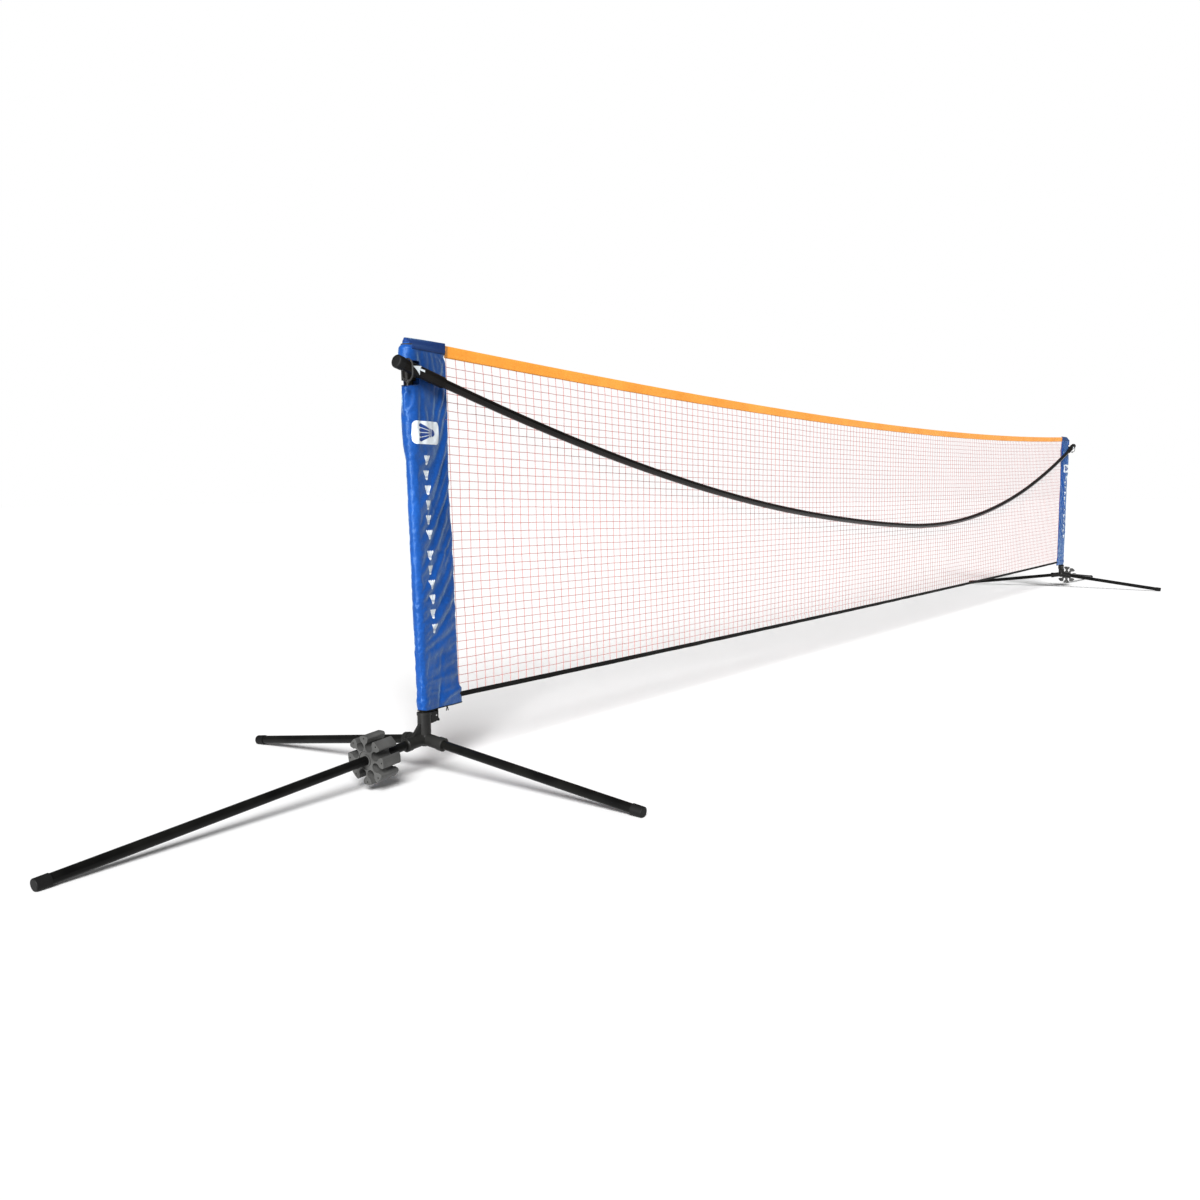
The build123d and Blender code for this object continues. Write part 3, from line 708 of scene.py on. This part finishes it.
def drape_sleeve(side, rows):
    """Let the sleeve's cloth, cut a little loose, settle round its post; returns the settled rows."""
    loop = SLEEVE_COLUMNS
    mesh = bpy.data.meshes.new("draping")
    mesh.from_pydata([tuple(point) for line in rows for point in line], [], sleeve_faces(side, rows))
    cloth = link_object("draping", mesh)
    held = cloth.vertex_groups.new(name="held")
    used = {index for face in mesh.polygons for index in face.vertices}
    for row in range(SLEEVE_ROWS + 1):
        for column in range(loop):
            index = row * loop + column
            if row >= SLEEVE_ROWS - 5 or column == 0 or index not in used:
                held.add([index], 1.0, "REPLACE")
            elif column in (1, loop - 1) or row == 0:
                held.add([index], 0.5, "REPLACE")
    modifier = cloth.modifiers.new("Cloth", "CLOTH")
    settings = modifier.settings
    for name, value in CLOTH_SETTINGS.items():
        setattr(settings, name, value)
    settings.effector_weights.gravity = CLOTH_GRAVITY
    modifier.collision_settings.distance_min = 0.0009
    modifier.collision_settings.use_self_collision = False
    collider = post_collider(side)
    scene = bpy.context.scene
    for frame_number in range(1, CLOTH_FRAMES + 1):
        scene.frame_set(frame_number)
    evaluated = cloth.evaluated_get(bpy.context.evaluated_depsgraph_get())
    settled = evaluated.to_mesh()
    places = [vertex.co.copy() for vertex in settled.vertices]
    evaluated.to_mesh_clear()
    bpy.data.objects.remove(cloth, do_unlink=True)
    bpy.data.objects.remove(collider, do_unlink=True)
    scene.frame_set(1)
    limited = []
    for row, line in enumerate(rows):
        settled_line = places[row * loop:(row + 1) * loop]
        limited.append([])
        for start, end in zip(line, settled_line):
            move = (end - start) * SETTLING_SHARE
            if move.length > MOST_SETTLING:
                move = move.normalized() * MOST_SETTLING
            limited[-1].append(start + move)
    return limited


# Creases in a sleeve's front, as (distance from the post's axis, height) at each end, width and height.
# A negative height is a fold that goes in.
CREASES = (
    ((0.014, 0.836), (0.024, 0.806), 0.0040, -0.0022),
    ((0.066, 0.786), (0.058, 0.716), 0.0060, -0.0026),
    ((0.084, 0.790), (0.080, 0.735), 0.0060, 0.0018),
    ((0.095, 0.640), (0.066, 0.575), 0.0045, -0.0022),
    ((0.012, 0.585), (0.070, 0.505), 0.0040, -0.0018),
    ((0.096, 0.560), (0.052, 0.500), 0.0040, -0.0016),
    ((0.004, 0.436), (0.098, 0.452), 0.0035, -0.0026),
    ((-0.006, 0.444), (0.040, 0.447), 0.0040, 0.0022),
    ((0.046, 0.336), (0.097, 0.352), 0.0045, 0.0022),
    ((0.012, 0.330), (0.046, 0.344), 0.0035, -0.0018),
    ((0.060, 0.262), (0.048, 0.205), 0.0050, -0.0018),
    ((0.051, 0.186), (0.037, 0.133), 0.0040, -0.0042),
    ((0.033, 0.139), (0.118, 0.171), 0.0055, 0.0046),
)


def crease_height(s, height):
    """How far the creases lift the cloth at a place on the front."""
    place = Vector((s, height))
    lift = 0.0
    for start, end, width, depth in CREASES:
        a, b = Vector(start), Vector(end)
        share = (place - a).dot(b - a) / (b - a).length_squared
        near = a + (b - a) * min(1.0, max(0.0, share))
        across = (place - near).length
        fade = ease(share, -0.05, 0.25) * (1.0 - ease(share, 0.8, 1.1))
        lift += depth * fade / (1.0 + (across / width) ** 2) ** 1.5
    return lift


def fold_height(s, height, front, seed):
    """Slow waves, diagonal pulls and small puckers of nylon that hangs from a sewn edge."""
    wave = noise.noise(Vector((s * 16.0, height * 8.0, seed))) * 0.0022
    pull = noise.noise(Vector((s * 34.0 + height * 24.0, height * 9.0 - s * 22.0, seed + 3.0)))
    wave += (0.5 - abs(pull)) * 0.0016
    pull = noise.noise(Vector((s * 40.0 - height * 30.0, height * 11.0 + s * 30.0, seed + 6.0)))
    wave += (0.5 - abs(pull)) * 0.0012
    wave += noise.noise(Vector((s * 95.0, height * 120.0, seed + 9.0))) * 0.0005
    near_seam = math.exp(-(((SLEEVE_REACH - s) / 0.020) ** 2))
    wave += noise.noise(Vector((s * 10.0, height * 62.0, seed + 12.0))) * 0.0022 * near_seam
    wave *= 1.0 - ease(s, SLEEVE_REACH - 0.006, SLEEVE_REACH - 0.001)
    wave *= 0.35 + 0.65 * ease(s, 0.0, 0.02)
    if front:
        wave += crease_height(s, height)
    return wave


def clear_of_post(side, place):
    """The place itself, or moved straight out to where it clears the post or the collar."""
    if place.z > box_of("left_post_cap")[1].z:
        return place
    near_collar = 1.0 - ease(abs(place.z - collar_height()), 0.016, 0.026)
    least = POST_CLEARANCE + (COLLAR_CLEARANCE - POST_CLEARANCE) * near_collar
    for cord in ("top_cord", "bottom_cord"):
        ring = box_of(cord)[1].z - CORD_R
        least = max(least, CORD_CLEARANCE * (1.0 - ease(abs(place.z - ring), 0.004, 0.012)))
    out = Vector((place.x - axis_x(side, place.z), place.y, 0.0))
    if out.length < least:
        place = place + out.normalized() * (least - out.length)
    return place


def fold_rows(side, rows, seed):
    """Move the rows along the cloth's own outward direction by its folds, and turn the bottom corner out."""
    top = sleeve_range()[1]
    folded = []
    for row, line in enumerate(rows):
        below, above = rows[max(row - 1, 0)], rows[min(row + 1, SLEEVE_ROWS)]
        moved = []
        for column, place in enumerate(line):
            before, after = line[column - 1], line[(column + 1) % SLEEVE_COLUMNS]
            out = (after - before).cross(above[column] - below[column]) * side
            s = from_axis(side, place)
            if out.length > 0.0:
                out.normalize()
            front = 0 < column < SLEEVE_COLUMNS // 2
            still = ease(place.z, top - HEM_BAND - 0.004, top - HEM_BAND + 0.002)
            shift = out * fold_height(s, place.z, front, seed) * (1.0 - 0.8 * still)
            corner = ease(s, 0.070, 0.104) * (1.0 - ease(place.z, 0.160, 0.172))
            shift.x -= side * 0.0075 * corner
            moved.append(clear_of_post(side, place + shift))
        folded.append(moved)
    return folded


def apply_modifiers(piece):
    """Put what the modifiers make into the piece's own mesh."""
    depsgraph = bpy.context.evaluated_depsgraph_get()
    mesh = bpy.data.meshes.new_from_object(piece.evaluated_get(depsgraph))
    piece.modifiers.clear()
    piece.data = mesh


def add_subdivision(piece):
    smooth = piece.modifiers.new("Subdivision", "SUBSURF")
    smooth.levels = smooth.render_levels = 1


def thicken(piece, thickness, offset):
    """Give a surface its thickness, inward (-1) or outward (1), and smooth shading."""
    wall = piece.modifiers.new("Solidify", "SOLIDIFY")
    wall.thickness = thickness
    wall.offset = offset
    apply_modifiers(piece)
    piece.data.polygons.foreach_set("use_smooth", [True] * len(piece.data.polygons))


def drop_loose(piece):
    """Remove vertices that no face uses, and face everything outward."""
    shape = bmesh.new()
    shape.from_mesh(piece.data)
    loose = [vertex for vertex in shape.verts if not vertex.link_faces]
    bmesh.ops.delete(shape, geom=loose, context="VERTS")
    bmesh.ops.recalc_face_normals(shape, faces=shape.faces)
    shape.to_mesh(piece.data)
    shape.free()


def tree_of(mesh):
    return BVHTree.FromPolygons(
        [vertex.co.copy() for vertex in mesh.vertices], [tuple(face.vertices) for face in mesh.polygons])


def edge_loops(mesh):
    """The open edges of a mesh, as loops of places."""
    shape = bmesh.new()
    shape.from_mesh(mesh)
    following = {}
    for edge in shape.edges:
        if len(edge.link_faces) == 1:
            start, end = (vertex.index for vertex in edge.verts)
            following.setdefault(start, []).append(end)
            following.setdefault(end, []).append(start)
    loops = []
    shape.verts.ensure_lookup_table()
    while following:
        first = min(following)
        walk = [first]
        while True:
            ahead = [index for index in following[walk[-1]] if index in following and index not in walk]
            if not ahead:
                break
            walk.append(ahead[0])
        loops.append([shape.verts[index].co.copy() for index in walk])
        for index in walk:
            del following[index]
    shape.free()
    return loops


def loop_tube(vertices, faces, points, radius):
    """A closed tube along a loop of points."""
    first, count, sides = len(vertices), len(points), 8
    frame_out = None
    for index, point in enumerate(points):
        along = (points[(index + 1) % count] - points[index - 1]).normalized()
        if frame_out is None:
            frame_out = along.orthogonal().normalized()
        frame_out = (frame_out - along * frame_out.dot(along)).normalized()
        across = along.cross(frame_out)
        for step in range(sides):
            angle = 2.0 * math.pi * step / sides
            vertices.append(point + (frame_out * math.cos(angle) + across * math.sin(angle)) * radius)
    for index in range(count):
        ring, following = first + index * sides, first + ((index + 1) % count) * sides
        for step in range(sides):
            turn = (step + 1) % sides
            faces.append((ring + step, ring + turn, following + turn, following + step))


def make_sleeve(side_name, side, rows, materials):
    """The cloth, its hem band, bottom piping and window binding; returns a tree to lay things on."""
    vertices = [place for line in rows for place in line]
    cloth = new_piece(f"{side_name}_sleeve_cloth", vertices, sleeve_faces(side, rows), materials["sleeve"])
    drop_loose(cloth)
    add_subdivision(cloth)
    apply_modifiers(cloth)
    surface = cloth.data.copy()
    tree = tree_of(surface)
    thicken(cloth, CLOTH_THICKNESS, -1.0)
    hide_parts(f"{side_name}_sleeve")
    bindings = {"piping": (materials["black_tape"], 0.0010, "tape_black"),
                "window_binding": (materials["sleeve_hem"], 0.0008, "sleeve_blue")}
    low = sleeve_range()[0]
    for loop in edge_loops(surface):
        kind = "piping" if min(place.z for place in loop) < low + 0.02 else "window_binding"
        material, radius, slot = bindings[kind]
        tube_vertices, tube_faces = [], []
        loop_tube(tube_vertices, tube_faces, loop, radius)
        trim = new_piece(f"{side_name}_sleeve_{kind}", tube_vertices, tube_faces, material)
    make_hem_band(side_name, side, rows, materials)
    bpy.data.meshes.remove(surface)
    return tree


def make_hem_band(side_name, side, rows, materials):
    """The folded band round the sleeve's head, which carries the tape's line on."""
    top = sleeve_range()[1]
    first = next(row for row, line in enumerate(rows) if line[0].z >= top - HEM_BAND)
    band = rows[first:]
    vertices = [place for line in band for place in line]

    def over_post(place):
        return from_axis(side, place) < -0.005 and place.z < top - 0.012

    faces = [quad for quad in ring_quads(len(band), SLEEVE_COLUMNS) if not over_post(vertices[quad[0]])]
    piece = new_piece(f"{side_name}_sleeve_head_band", vertices, faces, materials["sleeve_hem"])
    drop_loose(piece)
    add_subdivision(piece)
    thicken(piece, BAND_THICKNESS, 1.0)
    return piece


# ---------------------------------------------------------------- prints
def rounded_outline(width, height, radius):
    """Corner-rounded rectangle about its middle."""
    points, steps = [], 6
    for quarter, (x, y) in enumerate(((1, 1), (-1, 1), (-1, -1), (1, -1))):
        for step in range(steps + 1):
            angle = math.pi / 2.0 * (quarter + step / steps)
            points.append((x * (width / 2.0 - radius) + radius * math.cos(angle),
                           y * (height / 2.0 - radius) + radius * math.sin(angle)))
    return points


def shuttlecock_outlines(size):
    """A plain shuttlecock, cork down: a round cork, a band and four feathers that fan out."""
    cork_r, cork_top = 0.17 * size, -0.26 * size
    cork = [(cork_r, -0.24 * size)]
    for step in range(11):
        angle = math.pi * step / 10.0
        cork.append((cork_r * math.cos(angle), cork_top - 0.2 * size * math.sin(angle)))
    cork.append((-cork_r, -0.24 * size))
    band = [(-0.19 * size, -0.20 * size), (0.19 * size, -0.20 * size),
            (0.21 * size, -0.12 * size), (-0.21 * size, -0.12 * size)]
    outlines = [cork, band]
    for feather in range(4):
        lean = (feather - 1.5) / 1.5
        foot, tip = 0.165 * lean * size, 0.33 * lean * size
        outlines.append([
            (foot - 0.038 * size, -0.08 * size), (foot + 0.038 * size, -0.08 * size),
            (tip + 0.095 * size, 0.36 * size), (tip + 0.05 * size, 0.46 * size),
            (tip - 0.05 * size, 0.46 * size), (tip - 0.095 * size, 0.36 * size)])
    return outlines


def arrow_outlines(length, height):
    """A swept arrowhead with a short shaft, pointing to -X."""
    tip, barb, notch = -length / 2.0, length * 0.30, length * 0.02
    return [
        [(tip, 0.0), (barb, height * 0.5), (notch, 0.0)],
        [(tip, 0.0), (notch, 0.0), (barb * 0.8, -height * 0.5)],
        [(notch - 0.002, height * 0.10), (length / 2.0, height * 0.16), (length / 2.0, -height * 0.08),
         (notch - 0.002, -height * 0.10)],
    ]


def lay_print(name, outlines, place_at, tree, lift, material, finest):
    """Cut flat shapes fine, drop them onto a surface and give them a thin body.

    place_at turns a flat point into a place in front of the surface, from where it drops straight back.
    """
    towards = Vector((0.0, 1.0, 0.0))
    shape = bmesh.new()
    for outline in outlines:
        corners = [shape.verts.new((x, y, 0.0)) for x, y in outline]
        edges = [shape.edges.new((corners[index - 1], corners[index])) for index in range(len(corners))]
        bmesh.ops.triangle_fill(shape, edges=edges, use_beauty=True)
    for _ in range(6):
        long_edges = [edge for edge in shape.edges if edge.calc_length() > finest]
        if not long_edges:
            break
        bmesh.ops.subdivide_edges(shape, edges=long_edges, cuts=1)
        bmesh.ops.triangulate(shape, faces=shape.faces)
    for vertex in shape.verts:
        start = place_at(vertex.co.x, vertex.co.y)
        hit, normal, _, _ = tree.ray_cast(start, towards)
        if hit is None:
            hit, normal, _, _ = tree.find_nearest(start)
        if normal.dot(towards) > 0.0:
            normal = -normal
        vertex.co = hit + normal * lift
    bmesh.ops.recalc_face_normals(shape, faces=shape.faces)
    if sum((face.normal * face.calc_area() for face in shape.faces), Vector()).dot(towards) > 0.0:
        bmesh.ops.reverse_faces(shape, faces=shape.faces)
    bmesh.ops.solidify(shape, geom=shape.faces, thickness=-PRINT_THICKNESS)
    bmesh.ops.recalc_face_normals(shape, faces=shape.faces)
    mesh = bpy.data.meshes.new(name)
    shape.to_mesh(mesh)
    shape.free()
    add_piece(name, mesh, material)


def print_sleeve(side_name, side, tree, materials):
    """A white patch with a shuttlecock near the top, and a column of small shuttlecocks below it."""
    def on_front(s, height):
        middle = axis_x(side, height) - side * s
        return lambda x, y: Vector((middle + x, -0.1, height + y))

    patch_s, patch_z = 0.0288, 0.681
    lay_print(
        f"{side_name}_sleeve_patch", [rounded_outline(0.077, 0.0445, 0.009)], on_front(patch_s, patch_z),
        tree, PRINT_LIFT, materials["print"], 0.004)
    emblem = [[(-y * 1.25, x) for x, y in outline] for outline in shuttlecock_outlines(0.042)]
    lay_print(
        f"{side_name}_sleeve_patch_emblem", emblem, on_front(patch_s + 0.001, patch_z),
        tree, 0.00045, materials["print_blue"], PRINT_FINEST)
    column = MARK_TOP - MARK_BOTTOM
    step = column / (MARK_COUNT - 1 + MARK_GAP)
    for index in range(MARK_COUNT):
        place = index + (MARK_GAP if index >= MARK_COUNT // 2 else 0.0)
        height = MARK_TOP - step * place
        s = 0.0275 + 0.002 * (MARK_TOP - height) / column
        lay_print(
            f"{side_name}_sleeve_mark_{index + 1}", shuttlecock_outlines(0.0205), on_front(s, height),
            tree, PRINT_LIFT, materials["print"], PRINT_FINEST)


def print_arrow(side_name, side, materials):
    """An arrow on the front of the rod holder, pointing outward."""
    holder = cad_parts[f"{side_name}_rod_holder"]
    tree = tree_of(holder.data)
    cap_low, cap_high = box_of(f"{side_name}_rod_end_cap")
    crossing = Vector((axis_x(side, collar_height()), cap_low.y - 0.1, collar_height()))
    outward = Vector((cap_low.x + cap_high.x, 0.0, cap_low.z + cap_high.z)) / 2.0 - crossing
    outward.y = 0.0
    outward.normalize()
    upward = Vector((-side * outward.z, 0.0, side * outward.x))

    def place_at(x, y):
        return crossing + outward * (ARROW_OUT - x) + upward * (y + 0.002)

    lay_print(
        f"{side_name}_rod_holder_arrow", arrow_outlines(0.032, 0.0185), place_at,
        tree, 0.0001, materials["print"], 0.003)


def stitch_sleeve(side_name, side, tree, materials):
    """Rows of thread down the sewn edge and round the bottom hem, front and back."""
    low, high = sleeve_range()
    vertices, faces = [], []
    pitch, length, radius = 0.0050, 0.0031, 0.00032

    def stitch(start_at, end_at, towards):
        places = []
        for s, height in (start_at, end_at):
            start = Vector((axis_x(side, height) - side * s, -0.1 * towards, height))
            hit = tree.ray_cast(start, Vector((0.0, towards, 0.0)), 0.2)[0]
            if hit is None:
                return
            places.append(hit - Vector((0.0, towards * radius * 0.4, 0.0)))
        sink = Vector((0.0, towards * radius * 1.6, 0.0))
        add_stitch(vertices, faces, *places, sink, radius)

    for towards in (1.0, -1.0):
        for index in range(int((high - low - 0.03) / pitch)):
            height = low + 0.004 + index * pitch
            s = sewn_reach(height) - 0.0065
            stitch((s, height), (s, height + length), towards)
        for index in range(int((SLEEVE_REACH - 0.012) / pitch)):
            s = index * pitch + 0.002
            stitch((s, low + HEM_DEPTH), (s + length, low + HEM_DEPTH), towards)
    piece = new_piece(f"{side_name}_sleeve_stitches", vertices, faces, materials["sleeve_thread"])


def make_knot(side_name, side, materials):
    """The small knot that ends a cord below the sleeve's hem: a trefoil with two short tails."""
    low = sleeve_range()[0]
    centre = Vector((axis_x(side, low) - side * 0.064, -0.0035, low + 0.001))
    size, radius, turns = 0.00135, 0.00115, 48
    points = []
    for step in range(turns):
        t = 2.0 * math.pi * step / turns
        points.append(centre + size * Vector((
            math.sin(t) + 2.0 * math.sin(2.0 * t),
            -1.2 * math.sin(3.0 * t),
            math.cos(t) - 2.0 * math.cos(2.0 * t))))
    vertices, faces = [], []
    loop_tube(vertices, faces, points, radius)
    for lean in (-0.6, 0.35):
        end = Vector((lean * 0.006, -0.0012, -0.011))
        tail = [centre + end * share for share in (0.0, 0.3, 0.6, 1.0)]
        add_tube(vertices, faces, tail, radius * 0.9, 8)
    piece = new_piece(f"{side_name}_sleeve_corner_knot", vertices, faces, materials["cord"])


def make_sleeves(materials):
    """Both sleeves from one settling of the cloth; the right one is its mirror, with folds of its own."""
    rows = sleeve_grid(-1)
    rows = drape_sleeve(-1, rows)
    for side_name, side in SIDES.items():
        own = [[Vector((-side * place.x, place.y, place.z)) for place in line] for line in rows]
        folded = fold_rows(side, own, 11.0 if side < 0 else 47.0)
        tree = make_sleeve(side_name, side, folded, materials)
        stitch_sleeve(side_name, side, tree, materials)
        print_sleeve(side_name, side, tree, materials)
        print_arrow(side_name, side, materials)
        make_knot(side_name, side, materials)


# ---------------------------------------------------------------- run
make_camera()
make_floor()
make_light()
finishes = make_materials()
finish_cad_nodes(finishes)
make_sleeves(finishes)
make_net(finishes)
make_tapes(finishes)
